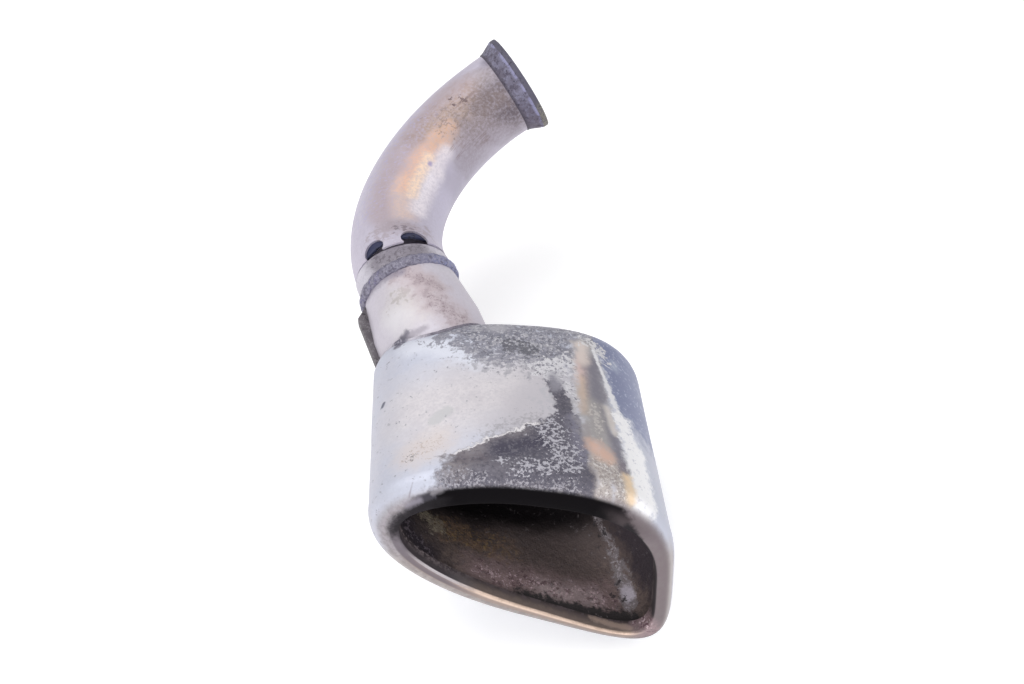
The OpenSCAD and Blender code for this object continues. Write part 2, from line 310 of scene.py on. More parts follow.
def streak_group():
    """Stain of even width along a straight run from one point to another."""
    group, given, made = new_group("streak", [("Place", nowhere), ("Start", nowhere), ("Run", (0.02, 0.0, 0.0)),
                                              ("Width", 0.005)] + edge_inputs, ["Mask", "Rim"])
    away = vector_of(group, "SUBTRACT", given["Place"], given["Start"])
    share = sum_of(group, "DIVIDE", vector_of(group, "DOT_PRODUCT", away, given["Run"]),
                   vector_of(group, "DOT_PRODUCT", given["Run"], given["Run"]))
    share = sum_of(group, "MINIMUM", sum_of(group, "MAXIMUM", share, 0.0), 1.0)
    scale = add_node(group, "ShaderNodeVectorMath", operation="SCALE")
    feed(group, scale.inputs[0], given["Run"])
    feed(group, scale.inputs["Scale"], share)
    off_line = vector_of(group, "LENGTH", vector_of(group, "SUBTRACT", away, scale.outputs["Vector"]))
    ragged_edge(group, given, made, sum_of(group, "DIVIDE", off_line, given["Width"]))
    return group


def side_group():
    """Everything beyond a ragged line, on the side to which a direction points."""
    group, given, made = new_group("side", [("Place", nowhere), ("Point", nowhere), ("Towards", (1.0, 0.0, 0.0)),
                                            ("Width", 0.01)] + edge_inputs, ["Mask", "Rim"])
    away = vector_of(group, "SUBTRACT", given["Place"], given["Point"])
    beyond = sum_of(group, "DIVIDE", vector_of(group, "DOT_PRODUCT", away, given["Towards"]), given["Width"])
    ragged_edge(group, given, made, sum_of(group, "SUBTRACT", 1.0, beyond))
    return group


cloud, stain, streak, side = cloud_group(), stain_group(), streak_group(), side_group()


class Mask:
    """A share from 0 to 1 over a finish: a & b is where both are, a | b where either is, a - b
    where only the first is and ~a where it isn't."""

    def __init__(self, finish, share):
        self.finish, self.share = finish, share

    def worked(self, operation, *values):
        """A new mask from a math node."""
        values = [v.share if isinstance(v, Mask) else v for v in values]
        return Mask(self.finish, sum_of(self.finish.tree, operation, *values))

    def __and__(self, other):
        return self.worked("MULTIPLY", self, other)

    def __or__(self, other):
        return self.worked("MAXIMUM", self, other)

    def __invert__(self):
        return self.worked("SUBTRACT", 1.0, self)

    def __sub__(self, other):
        return self & ~other

    def spray(self, grain, height, softness=0.03):
        """Flecks that grow fewer and smaller towards the edge of the mask."""
        level = self.worked("MULTIPLY_ADD", self.worked("SUBTRACT", self, 1.0), 0.25, self.finish.cloud(grain))
        return self.finish.between(level.share, height - softness, height + softness)

    def paint(self, strength, colour, gloss=None, metal=None):
        """Lays a colour, and a roughness and metal share where given, over what the finish has so far."""
        mask = self if strength == 1 else self.worked("MULTIPLY", self, strength)
        for name, new in (("Base Color", seen(*colour)), ("Roughness", gloss), ("Metallic", metal)):
            if new is not None:
                self.finish.mix(name, new, mask.share)

    def raise_by(self, amount):
        """Adds relief in millimetres."""
        step, finish = self.worked("MULTIPLY", self, amount), self.finish
        finish.height = step if finish.height is None else step.worked("ADD", finish.height, step)


class Finish:
    """A steel finish that is built up in layers of colour, gloss and relief; places in millimetres."""

    def __init__(self, name, colour, gloss, metal):
        self.material = bpy.data.materials.new(name)
        self.material.use_nodes = True
        self.tree = self.material.node_tree
        self.shader = self.tree.nodes["Principled BSDF"]
        self.place = add_node(self.tree, "ShaderNodeTexCoord").outputs["Object"]
        self.so_far = {"Base Color": seen(*colour), "Roughness": gloss, "Metallic": metal}
        self.height = None
        self.clouds = {}

    def attribute(self, name, output="Fac"):
        """A value or place that the mesh carries."""
        return add_node(self.tree, "ShaderNodeAttribute", attribute_name=name).outputs[output]

    def cloud(self, grain, place=None):
        """A cloud with so many grains in a metre, made once for each size."""
        place = place or self.place
        if (grain, place) not in self.clouds:
            node = add_node(self.tree, "ShaderNodeGroup", node_tree=cloud)
            feed(self.tree, node.inputs["Place"], place)
            node.inputs["Grain"].default_value = grain
            self.clouds[grain, place] = node.outputs["Level"]
        return self.clouds[grain, place]

    def mark(self, group, sizes, softness, ragged, grain, rim, place):
        """Mask of a node group, and with a rim's width the mask of its rim too."""
        node = add_node(self.tree, "ShaderNodeGroup", node_tree=group)
        feed(self.tree, node.inputs["Place"], place or self.place)
        for name, value in sizes.items():
            node.inputs[name].default_value = value * mm if name == "Width" else Vector(value) * mm
        node.inputs["Softness"].default_value = softness
        node.inputs["Ragged"].default_value = ragged
        feed(self.tree, node.inputs["Cloud"], self.cloud(grain, place))
        if not rim:
            return Mask(self, node.outputs["Mask"])
        node.inputs["Rim Width"].default_value = rim
        return Mask(self, node.outputs["Mask"]), Mask(self, node.outputs["Rim"])

    def stain(self, middle, reach, softness, ragged, grain, place=None):
        return self.mark(stain, {"Middle": middle, "Reach": reach}, softness, ragged, grain, 0, place)

    def streak(self, start, end, width, softness, ragged, grain, place=None):
        run = Vector(end) - Vector(start)
        return self.mark(streak, {"Start": start, "Run": run, "Width": width}, softness, ragged, grain, 0, place)

    def side(self, point, towards, softness, ragged, grain, rim=0, width=10):
        """Width is the distance in which a softness or raggedness of 1 would act."""
        sizes = {"Point": point, "Towards": Vector(towards).normalized() / mm, "Width": width}
        return self.mark(side, sizes, softness, ragged, grain, rim, None)

    def between(self, value, low, high):
        return Mask(self, fade_of(self.tree, value, low, high))

    def flecks(self, grain, height, softness, place=None):
        """Small flecks: what stands above a height in a cloud."""
        return self.between(self.cloud(grain, place), height - softness, height + softness)

    def mix(self, name, new, share):
        """Mixes a new value over what a socket of the shader has so far."""
        coloured = name == "Base Color"
        node = add_node(self.tree, "ShaderNodeMix", data_type="RGBA" if coloured else "FLOAT")
        feed(self.tree, node.inputs[0], share)
        feed(self.tree, node.inputs[6 if coloured else 2], self.so_far[name])
        node.inputs[7 if coloured else 3].default_value = new
        self.so_far[name] = node.outputs[2 if coloured else 0]

    def finish(self, piece):
        for name, value in self.so_far.items():
            feed(self.tree, self.shader.inputs[name], value)
        bump = add_node(self.tree, "ShaderNodeBump")
        bump.inputs["Distance"].default_value = mm
        feed(self.tree, bump.inputs["Height"], self.height.share)
        feed(self.tree, self.shader.inputs["Normal"], bump.outputs["Normal"])
        piece.data.materials.clear()
        piece.data.materials.append(self.material)


def settle(piece, look, slot, *nodes):
    """Gives a piece its finish, attaches it to the root body and hides the solids it stands for; the slot is not used.
    """
    look.finish(piece)
    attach(piece, "root")
    if nodes:
        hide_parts(*nodes)


steel = Finish("casing_steel", (203, 206, 220), 0.52, 0.45)
step = steel.attribute("step")
steel.flecks(22, 0.5, 0.25).paint(0.6, (196, 198, 212), 0.56)
steel.side((0, 0, -32), (0, 0, -1), 0.5, 0.2, 60).paint(0.7, (184, 186, 199))
steel.flecks(9, 0.54, 0.1).paint(0.5, (208, 203, 210))
steel.flecks(640, 0.5, 0.15).paint(0.4, (190, 192, 206), 0.6)

# cream bloom over the middle, wiped white towards the neck
cream = steel.streak((-74, -272, -11), (-26, -264, -13), 26, 0.7, 0.3, 60)
cream.paint(0.95, (217, 212, 215), 0.58)
dim = steel.streak((-34, -292, -11), (-12, -262, -14), 15, 0.7, 0.5, 60)
dim.paint(0.8, (192, 188, 195), 0.58)
(cream & steel.flecks(120, 0.54, 0.12)).paint(0.55, (199, 194, 200))
(cream & steel.flecks(560, 0.53, 0.12)).paint(0.5, (194, 190, 197))
wiped = steel.streak((-84, -216, -18), (-52, -236, -12), 8, 0.8, 0.6, 140)
wiped.paint(0.9, (220, 222, 233), 0.5)

# the burnt end of the corner weld spreads a little way on to the casing
burn = steel.streak((-91.5, -213.5, -23.6), (-87.5, -210, -21.4), 2.4, 0.5, 0.6, 300)
burn.paint(0.9, (116, 113, 127), 0.65)

# a rusty bloom with specks, a smudge, a nick and a scratch on the left
rusty = steel.streak((-87, -302, -13.5), (-74, -298, -11), 9, 0.9, 0.4, 160)
rusty.paint(0.6, (212, 200, 195), 0.6)
rusty.spray(700, 0.56).paint(0.7, (186, 172, 166), 0.65)
pits = steel.stain((-88.5, -303, -13.5), (4, 5, 5), 0.9, 0.5, 160)
pits.spray(560, 0.53, 0.02).paint(0.8, (136, 132, 134), 0.7)
smudge = steel.streak((-74.5, -281.6, -11.3), (-67.5, -276.4, -10.6), 3.4, 0.35, 0.3, 300)
smudge.paint(0.85, (196, 195, 198), 0.6)
nick = steel.streak((-101, -256.6, -25), (-100, -254.8, -24.4), 1.1, 0.5, 0.4, 400)
nick.paint(0.9, (96, 98, 114), 0.6, 0.4)
scratch = steel.streak((-87.5, -320.2, -13.3), (-90.2, -326.2, -17.8), 0.45, 0.6, 0.2, 400)
scratch.paint(0.8, (158, 153, 166), 0.5)

# soot along the back edge, thinning out towards the middle in patches of bare metal
back = (steel.streak((-56, -206, -17), (18, -206, -30), 20, 0.55, 0.5, 120)
        | steel.streak((-44, -220, -13), (-10, -228, -17), 17, 0.6, 0.6, 120))
fringe = steel.streak((-48, -238, -12), (-6, -246, -17), 14, 0.8, 0.6, 90)
fringe.spray(160, 0.5, 0.06).paint(0.8, (170, 168, 176), 0.6)
fringe.spray(420, 0.54, 0.04).paint(0.7, (134, 132, 142), 0.65)
back.spray(300, 0.4, 0.05).paint(0.95, (146, 145, 156), 0.65, 0.35)
back.spray(70, 0.5, 0.08).paint(0.8, (126, 126, 138), 0.68, 0.3)
back.spray(520, 0.52, 0.04).paint(0.75, (110, 109, 120), 0.7, 0.3)
back.spray(200, 0.56, 0.05).paint(0.75, (176, 174, 181), 0.6)
back.spray(640, 0.57, 0.03).paint(0.7, (206, 204, 210), 0.55)
steel.stain((-35.7, -213.9, -14.7), (6, 4, 5), 0.8, 0.5, 200).paint(0.7, (184, 182, 189))
thick = steel.streak((-30, -229, -14), (-20, -232, -15), 7, 0.8, 0.5, 200)
thick.spray(460, 0.46, 0.03).paint(0.8, (92, 92, 100), 0.7, 0.3)
bare = (steel.streak((-16, -247, -14), (2, -242, -18), 9, 0.8, 0.6, 120)
        | steel.streak((-8, -252, -15), (1, -270, -17), 5, 0.8, 0.6, 160))
bare.spray(330, 0.46, 0.03).paint(0.9, (216, 214, 219), 0.5)
bare.spray(460, 0.57, 0.02).paint(0.85, (112, 110, 122), 0.65, 0.35)

# burnt patch over the mouth: a ragged slanting edge with a pale crisp rim, and a tongue
# that reaches back towards the neck
above, above_rim = steel.side((-46, -299.3, -8), (0.41, -0.91, 0), 0.04, 0.34, 160, rim=0.13)
shallow, shallow_rim = steel.side((-62, -306, -8), (0.08, -1, 0), 0.08, 0.34, 160, rim=0.13)
beside = steel.side((-70.6, -313, -9), (0.9, -0.44, 0), 0.6, 0.8, 240)
right_of = steel.side((0.9, -300, -16), (-1, -0.06, 0), 0.14, 0.16, 200)
on_top = steel.side((0, 0, -34), (0, 0, 1), 0.4, 0.3, 60)
in_front = (above | shallow) & beside & right_of & on_top
tongue = (steel.streak((-11.5, -258, -14.5), (-8, -270, -15.3), 3.6, 0.3, 0.8, 260)
          | steel.streak((-8, -270, -15.3), (-5.4, -290, -15.3), 4.6, 0.25, 0.6, 260)
          | steel.streak((-22, -297, -12), (-9.5, -284, -14.5), 5.4, 0.3, 0.7, 260)
          | steel.streak((-5.6, -288, -15.3), (-5.6, -330, -14), 6, 0.12, 0.2, 200))
burnt = in_front | tongue & right_of
smoke = steel.streak((-50, -298, -9), (-23, -286, -12), 7, 0.9, 0.6, 200)
smoke.spray(520, 0.5, 0.08).paint(0.65, (158, 155, 161), 0.6)
burnt.paint(0.97, (88, 85, 97), 0.6, 0.4)
brown_end = steel.stain((-68, -311, -8), (13, 10, 9), 0.7, 0.5, 160)
(burnt & brown_end).paint(0.9, (144, 137, 139), 0.65)
maroon = steel.streak((-62, -311, -7.5), (-54, -311, -7.5), 4, 0.9, 0.6, 200)
(burnt & maroon).paint(0.85, (92, 84, 93))
under_rim = steel.streak((-58, -307, -8), (-30, -297, -11), 4.6, 0.9, 0.4, 160)
(burnt & under_rim).paint(0.8, (136, 130, 135))
navy = steel.streak((-44, -307, -8), (-22, -301, -11), 5.4, 0.8, 0.5, 160)
(burnt & navy).paint(0.95, (70, 67, 83), 0.55)
(burnt & steel.stain((-46, -319, -7), (9, 5, 6), 0.9, 0.5, 160)).paint(0.8, (112, 108, 117))
blue_edge = steel.streak((-3.4, -284, -15), (-2, -312, -15), 4.4, 0.9, 0.3, 160)
(burnt & blue_edge).paint(0.85, (128, 126, 142), 0.5)
(burnt & steel.flecks(420, 0.56, 0.05)).paint(0.6, (76, 73, 84), 0.65)
(burnt & steel.flecks(640, 0.55, 0.06)).paint(0.45, (132, 129, 138), 0.6)
flaky = (steel.streak((-18, -290, -12), (-10, -312, -12), 12, 0.9, 0.5, 200)
         | steel.streak((-36, -319, -8), (-8, -318, -13), 7, 0.9, 0.5, 200)
         | steel.stain((-44.5, -315, -7), (4, 3, 5), 0.8, 0.5, 240))
(burnt & flaky.spray(560, 0.505, 0.03)).paint(0.85, (194, 192, 201), 0.5)
by_mouth = (steel.streak((-76, -325, -12), (-58, -328, -11), 9, 0.9, 0.7, 120)
            | steel.streak((-58, -330, -11), (-10, -332, -14), 6, 0.9, 0.7, 120))
(burnt & by_mouth.spray(760, 0.5, 0.04)).paint(0.75, (176, 173, 181), 0.6)
(burnt & by_mouth.spray(520, 0.56, 0.03)).paint(0.7, (70, 66, 76), 0.65)
crisp = ((above_rim - shallow | shallow_rim - above)
         & steel.streak((-62, -305, -8), (-22, -289, -11.5), 5, 0.3, 0.3, 200))
(crisp - tongue).paint(0.95, (236, 232, 235), 0.5)
torn = (steel.streak((-17, -263, -14), (-13, -273, -14), 3.6, 0.8, 0.6, 200)
        | steel.streak((-24, -272, -12), (-14, -278, -13.5), 4, 0.8, 0.6, 200)
        | steel.streak((-2, -262, -15.5), (-1, -278, -16), 2.6, 0.8, 0.6, 200))
torn.spray(380, 0.48, 0.04).paint(0.8, (188, 186, 193), 0.5)
steel.streak((-10, -253, -15.5), (-9, -261, -15.3), 3.4, 0.9, 0.6, 200).paint(0.8, (152, 150, 160))

# heat bands down the right: tan beside a long grey and olive one, and blue round the corner
smoky = (steel.streak((11, -226, -23), (11.5, -262, -21.5), 7.5, 0.7, 0.5, 200)
         | steel.streak((10, -262, -21), (8.5, -292, -20), 9.5, 0.6, 0.5, 200)
         | steel.streak((10, -292, -20), (16, -318, -23), 7.5, 0.6, 0.5, 200))
smoky.paint(0.95, (170, 166, 168), 0.58)
tan = steel.streak((7.8, -234, -22), (5.6, -252, -19.3), 3.4, 0.95, 0.6, 200)
tan.paint(0.85, (216, 191, 185), 0.5)
steel.streak((5.4, -252, -19.3), (4.2, -276, -18), 3, 0.95, 0.6, 200).paint(0.85, (202, 180, 164), 0.5)
grey_band = (steel.streak((13.4, -236, -23.4), (12.1, -266, -22), 5, 0.9, 0.6, 200)
             | steel.streak((12.4, -268, -21.8), (14.4, -292, -22.8), 2.6, 0.8, 0.6, 200)
             | steel.streak((16, -292, -22.5), (18.4, -316, -24), 4, 0.8, 0.5, 200))
grey_band.paint(0.92, (124, 121, 133), 0.55)
steel.streak((8.4, -225, -21.8), (8.4, -236, -21.8), 3.6, 0.9, 0.6, 200).paint(0.9, (214, 202, 197))
steel.streak((16, -271, -23.2), (17, -288, -23.8), 2.4, 0.8, 0.6, 200).paint(0.9, (206, 199, 196))
olive = steel.streak((9, -272, -20.5), (8, -294, -19), 5, 0.9, 0.6, 200)
olive.paint(0.85, (158, 154, 154))
olive.spray(420, 0.52, 0.05).paint(0.75, (196, 190, 188))
steel.streak((2, -288, -17), (2.6, -322, -17), 2, 0.8, 0.5, 240).paint(0.8, (156, 150, 152))
beige = (steel.streak((5.4, -312, -17), (6, -334, -21), 5, 0.6, 0.5, 240)
         | steel.streak((13, -314, -20.5), (14, -334, -24), 5.6, 0.6, 0.5, 240))
beige.paint(0.95, (184, 175, 171), 0.6)
beige.spray(700, 0.51, 0.04).paint(0.7, (146, 138, 137), 0.65)
beige.spray(560, 0.56, 0.03).paint(0.8, (216, 212, 212), 0.5)
steel.streak((5, -302, -17.5), (9.5, -307, -19), 4.6, 0.95, 0.6, 200).paint(0.85, (214, 178, 160), 0.5)
steel.stain((17.8, -314, -23), (3, 5, 4), 0.8, 0.5, 250).paint(0.85, (124, 117, 127))
blue = (steel.side((22, -262, -27), (1, 0.1, -0.35), 0.16, 0.4, 260)
        & steel.side((30, -278, -34), (0.36, 0.93, 0), 0.9, 1, 200))
(blue & steel.side((0, 0, -85), (0, 0, 1), 1, 0.3, 40)).paint(0.95, (122, 128, 159), 0.45, 0.5)
(blue & steel.flecks(60, 0.54, 0.06)).paint(0.5, (142, 147, 174))
(blue & steel.flecks(420, 0.6, 0.04)).paint(0.7, (178, 183, 204))
steel.stain((26.5, -233, -31), (3, 4, 4), 0.8, 0.5, 250).paint(0.7, (168, 175, 194))
jagged = (steel.streak((15.2, -226, -25), (19.2, -252, -26), 1.1, 0.5, 1, 400)
          | steel.streak((18.4, -234, -26), (26, -238, -30), 0.6, 0.5, 0.8, 400)
          | steel.streak((19.2, -252, -26), (22.4, -276, -27), 2, 0.5, 1, 400))
jagged.paint(0.95, (226, 225, 229), 0.5)
speckled_end = steel.streak((13, -219, -26), (21, -228, -28), 7.5, 0.9, 0.6, 160)
speckled_end.spray(380, 0.48, 0.03).paint(0.9, (214, 212, 215), 0.5)
# clean bare metal along the right corner, painted near white as a reflection of the white room too
bare_and_glare = (steel.streak((23.4, -276, -28), (26, -300, -28.6), 5, 0.4, 0.9, 300)
          | steel.streak((27.5, -296, -29.5), (27, -338, -29), 8, 0.4, 0.5, 260))
bare_and_glare.paint(0.95, (240, 239, 241), 0.5)
bare_and_glare.spray(420, 0.6, 0.03).paint(0.7, (196, 196, 208))
steel.streak((18.6, -319, -24), (19.4, -334, -24.5), 2.8, 0.95, 0.6, 240).paint(0.85, (230, 204, 170), 0.45)

# rolled lip: sooty along the top, grey and bronze from heat elsewhere, with a pale peach painted
# highlight along the bottom where it turns into the mouth, and a painted glint on the lower left
top_part = steel.side((0, 0, -40), (0, 0, 1), 0.8, 0.3, 60)
right_part = steel.side((12, 0, -40), (1, 0, 0.15), 0.8, 0.3, 60)
low_part = steel.side((0, 0, -54), (0, 0, -1), 0.8, 0.2, 60)
roll = steel.between(step, 42, 47)
(roll - (burnt & on_top)).paint(0.9, (158, 151, 156), 0.5, 0.6)
(steel.between(step, 38, 42) & low_part).paint(0.7, (172, 162, 156))
(roll & right_part).paint(0.9, (112, 100, 105))
(roll & steel.flecks(300, 0.5, 0.12)).paint(0.5, (126, 118, 120), 0.58)
browner = (steel.between(step, 48, 49.5) & low_part) - right_part
browner.paint(0.85, (158, 140, 132), 0.45, 0.7)
# painted highlight: a pale peach line where the lip turns into the mouth along the bottom
peach_highlight = (steel.between(step, 50.3, 51.6) & low_part) - right_part - steel.between(step, 54, 55)
peach_highlight.paint(0.9, (216, 192, 176), 0.42, 0.7)
(peach_highlight & steel.flecks(200, 0.54, 0.08)).paint(0.5, (172, 148, 132))
left_end = steel.side((-66, 0, 0), (-1, 0, 0), 1.2, 0.3, 60)
(steel.between(step, 48.5, 49.5) & left_end).paint(0.85, (104, 96, 104), 0.5, 0.6)
# painted highlight: a pale glint along the inner edge of the lower left lip
(steel.between(step, 51.5, 52.5) & left_end & low_part).paint(0.85, (196, 190, 194), 0.35, 0.8)
(steel.between(step, 53.5, 54.5) & left_end).paint(0.9, (78, 70, 76), 0.6)
line_end = steel.side((17, 0, -33), (1, 0, 0.15), 0.4, 0.3, 160)
line_start = steel.side((-86, 0, 0), (-1, 0, 0), 0.9, 0.4, 120)
((steel.between(step, 44, 46) & top_part) - line_start - line_end).paint(1, (18, 15, 19), 0.85, 0.85)
(steel.between(step, 46.5, 48.5)
 & steel.streak((-80, -328, -17), (-96, -331, -33), 7, 0.8, 0.5, 200)).paint(0.95, (30, 26, 31), 0.8, 0.6)
steel.streak((3, -336.7, -27.6), (14.6, -338.6, -33.2), 2.6, 0.7, 0.5, 300).paint(0.97, (22, 19, 22), 0.85, 0.8)
steel.streak((-78, -327.6, -15.2), (-85, -327.2, -18.4), 1.8, 0.6, 0.5, 300).paint(0.95, (62, 59, 68), 0.7, 0.5)
steel.streak((-85, -327.2, -18.4), (-91, -327.6, -21.4), 1.6, 0.9, 0.5, 300).paint(0.85, (138, 133, 144))
steel.streak((-78, -326.2, -14.6), (-74, -325.8, -13.6), 1.3, 0.9, 0.5, 300).paint(0.8, (142, 138, 144))
(steel.between(step, 45, 50) & right_part & top_part).paint(0.9, (84, 75, 78), 0.65)
(steel.between(step, 51.5, 53) & right_part).paint(0.95, (44, 38, 43), 0.75, 0.2)
steel.streak((16.6, -339.6, -37), (22, -341.5, -46), 2.2, 0.6, 0.5, 300).paint(0.97, (32, 28, 33), 0.75, 0.6)
turned = steel.between(step, 55, 56)
turned.paint(0.95, (58, 50, 53), 0.75, 0.2)
(turned & low_part & steel.flecks(300, 0.5, 0.06)).paint(0.8, (100, 89, 92))
(turned & left_end & steel.flecks(420, 0.5, 0.04)).paint(0.7, (140, 128, 132))
# painted highlight: the peach line of the lip carried on towards the lower right
steel.streak((0, -344.6, -105.2), (19.5, -349.7, -108.8), 1.7, 0.7, 0.5, 300).paint(0.9, (204, 180, 168), 0.5, 0.6)
rotten = steel.stain((28, -349, -106), (6.5, 7, 6.5), 0.7, 0.5, 200)
rotten.paint(0.85, (172, 148, 152), 0.6, 0.5)
rotten.spray(420, 0.5, 0.04).paint(0.9, (104, 78, 88), 0.75, 0.2)
rotten.spray(640, 0.55, 0.03).paint(0.8, (222, 200, 206), 0.5)
steel.flecks(120, 0.5, 0.4).raise_by(0.08)
burnt.raise_by(-0.05)
crisp.raise_by(0.3)
steel.flecks(640, 0.5, 0.4).raise_by(0.03)
settle(casing, steel, "casing", "tip_shell")

# Inner duct: a second sheet that starts behind the turned-in lip and narrows to the neck.
# It is bare steel under a coat of soot, with a painted highlight along its lower right corner and painted shade deeper
# in.
duct_sheet, duct_gap, duct_lap = 1, 0.15, 3
duct_in = open_inset - sheet - duct_gap
duct_from = lip_depth + 1
throat_middle = neck_frame @ Vector((0, 0, -neck_len * mm))


def duct_place(turn, ring):
    """Point of the duct, a share of the way from the lip's opening to the round neck."""
    share, inset, radius, lap = ring
    front_point = (mouth_middle + on_casing(turn, lap if lap else duct_from, inset)) * mm
    if lap:
        return front_point
    across = neck_frame.to_3x3() @ Vector((math.cos(turn), -math.sin(turn), 0))
    back_point = throat_middle + across * radius * mm
    m = share * share * (3 - 2 * share)
    return Vector((front_point.x + (back_point.x - front_point.x) * m,
                   front_point.y + (back_point.y - front_point.y) * share,
                   front_point.z + (back_point.z - front_point.z) * m))


duct_rings = [(1 - i / 32, duct_in - duct_sheet, neck_r, 0) for i in range(33)]
duct_rings += [(0, duct_in - duct_sheet, neck_r, lip_depth - duct_lap),
               (0, duct_in, neck_r, lip_depth - duct_lap)]
duct_rings += [(i / 32, duct_in, neck_r - duct_sheet, 0) for i in range(33)]
duct = draw_out("sooty_duct", 144, duct_rings, duct_place, ends="joined")
smooth_faces(duct, 50)
soot = Finish("duct_soot", (112, 97, 93), 0.75, 0.2)
soot.flecks(50, 0.5, 0.15).paint(0.7, (92, 80, 78))
soot.flecks(300, 0.54, 0.05).paint(0.6, (66, 57, 58), 0.8)
soot.flecks(360, 0.6, 0.04).paint(0.5, (142, 124, 116))
# painted shade: darker under the top of the duct and further in
roof_shade = soot.side((0, 0, -58), (0, 0, 1), 1.5, 0.3, 60)
roof_shade.paint(0.85, (58, 51, 55), 0.8)
soot.side((0, -303, -92), (0, 1, 0.2), 1, 0.5, 60).paint(0.85, (66, 57, 58), 0.8)
warm = soot.streak((-72, -303, -72), (-40, -308, -88), 13, 0.8, 0.6, 120)
warm.spray(240, 0.47, 0.08).paint(0.7, (128, 104, 86))
warm.spray(520, 0.56, 0.04).paint(0.6, (164, 136, 92), 0.6)
olive_film = soot.streak((-82, -299, -63), (-76, -304, -70), 7, 0.8, 0.6, 160)
olive_film.spray(300, 0.46, 0.06).paint(0.9, (150, 138, 124), 0.65)
olive_film.spray(560, 0.56, 0.03).paint(0.6, (196, 186, 158), 0.6)
grey_floor = soot.streak((-30, -302, -92), (0, -310, -101), 16, 0.9, 0.4, 60)
grey_floor.paint(0.6, (112, 99, 98))
pink_front = soot.streak((-56, -325, -80), (10, -331, -105), 9, 0.9, 0.6, 120)
pink_front.paint(0.85, (150, 128, 130), 0.68)
soot.streak((-22, -330, -95), (4, -331, -104), 6, 0.9, 0.5, 120).paint(0.7, (186, 168, 170))
pink_front.spray(200, 0.53, 0.06).paint(0.75, (92, 68, 74), 0.75)
pink_front.spray(640, 0.56, 0.03).paint(0.8, (214, 188, 196), 0.55)
# painted shade: a dark band on the floor just behind the lower lip
shade_behind_lip = soot.streak((-34, -338, -90), (22, -344, -112), 5.6, 0.4, 0.8, 300)
shade_behind_lip.paint(0.95, (44, 41, 43), 0.85, 0.1)
left_wall = soot.streak((-94, -312, -48), (-84, -326, -62), 9, 0.9, 0.6, 160)
left_wall.paint(0.9, (50, 44, 54), 0.8, 0.5)
left_wall.spray(420, 0.54, 0.03).paint(0.8, (122, 112, 122), 0.6)
# painted shade: the right wall darker than the floor, and the far end of the duct nearly black
right_wall_shade = soot.side((23, -318, -88), (1, 0.3, 0.25), 0.4, 0.4, 160)
right_wall_shade.paint(0.95, (62, 54, 62), 0.8)
soot.side((0, -290, -90), (0, 1, 0.1), 0.8, 0.4, 60).paint(0.97, (22, 18, 21), 0.85, 0.8)
# painted highlight: a pale line along the lower right inner corner
corner_highlight = (soot.streak((8, -286, -83), (17.4, -308, -99.2), 3, 0.8, 0.7, 240)
        | soot.streak((17.4, -308, -99.2), (22.4, -334, -109), 4.4, 0.8, 0.7, 240))
corner_highlight.spray(300, 0.42, 0.1).paint(0.9, (132, 124, 128), 0.65)
corner_highlight.spray(560, 0.54, 0.05).paint(0.6, (190, 183, 190), 0.55)
# painted highlight: the pale front end of the corner line by the lip
soot.stain((22.4, -329, -107.7), (3.4, 4.6, 5), 0.5, 0.7, 300).paint(0.9, (198, 190, 202), 0.55)
pitted = soot.streak((10, -296, -90), (17, -330, -107.5), 7, 0.8, 0.6, 160)
pitted.spray(300, 0.56, 0.03).paint(0.85, (44, 38, 42), 0.85, 0.1)
soot.flecks(260, 0.5, 0.3).raise_by(0.35)
settle(duct, soot, "duct", "inner_duct")

# Neck: a short cone of drawn stainless pipe that joins the bent pipe to the casing.
# It is cream and lilac steel with speckled brown stains below the upper weld.


def set_on(frame_matrix):
    """Places rings of (height, radius) along a frame's own Z, in millimetres."""
    def place(turn, ring):
        z, r = ring
        return frame_matrix @ Vector((r * mm * math.cos(turn), r * mm * math.sin(turn), z * mm))
    return place


def cone_at(z):
    """Outer radius of the neck at a height below the upper weld."""
    return neck_r - (neck_r - neck_top_r) * max(0, 1 + z / cone_len)


neck_rings = [(-neck_len, neck_r), (-45, neck_r)] + [(z, cone_at(z)) for z in range(-33, 1, 3)]
neck_rings += [(0, neck_top_r - neck_wall), (-cone_len, neck_r - neck_wall), (-neck_len, neck_r - neck_wall)]
neck = draw_out("cone_neck", 128, neck_rings, set_on(neck_frame), ends="joined")
smooth_faces(neck, 40)
satin = Finish("neck_steel", (207, 202, 211), 0.62, 0.35)
satin.flecks(40, 0.5, 0.2).paint(0.7, (199, 193, 205))
satin.stain((-84, -188, -14), (14, 15, 12), 0.9, 0.4, 90).paint(0.85, (204, 198, 196))
satin.flecks(560, 0.52, 0.14).paint(0.45, (192, 186, 196))
satin.stain((-92, -196, -20), (9, 8, 8), 0.9, 0.4, 90).paint(0.8, (220, 217, 222))
satin.stain((-88, -183, -15), (8, 8, 7), 0.9, 0.5, 160).spray(300, 0.47, 0.06).paint(0.7, (176, 169, 168))
for start, end, width in (((-88, -164, -12), (-74, -175, -10.5), 8), ((-76, -172, -10.5), (-66, -181, -12), 6),
                          ((-71, -188, -12), (-56, -201, -17), 8.5)):
    brown = satin.streak(start, end, width, 0.9, 0.6, 160)
    brown.paint(0.75, (190, 176, 181))
    brown.spray(240, 0.5, 0.12).paint(0.65, (164, 150, 156), 0.66)
    brown.spray(640, 0.55, 0.04).paint(0.6, (130, 113, 120), 0.7)
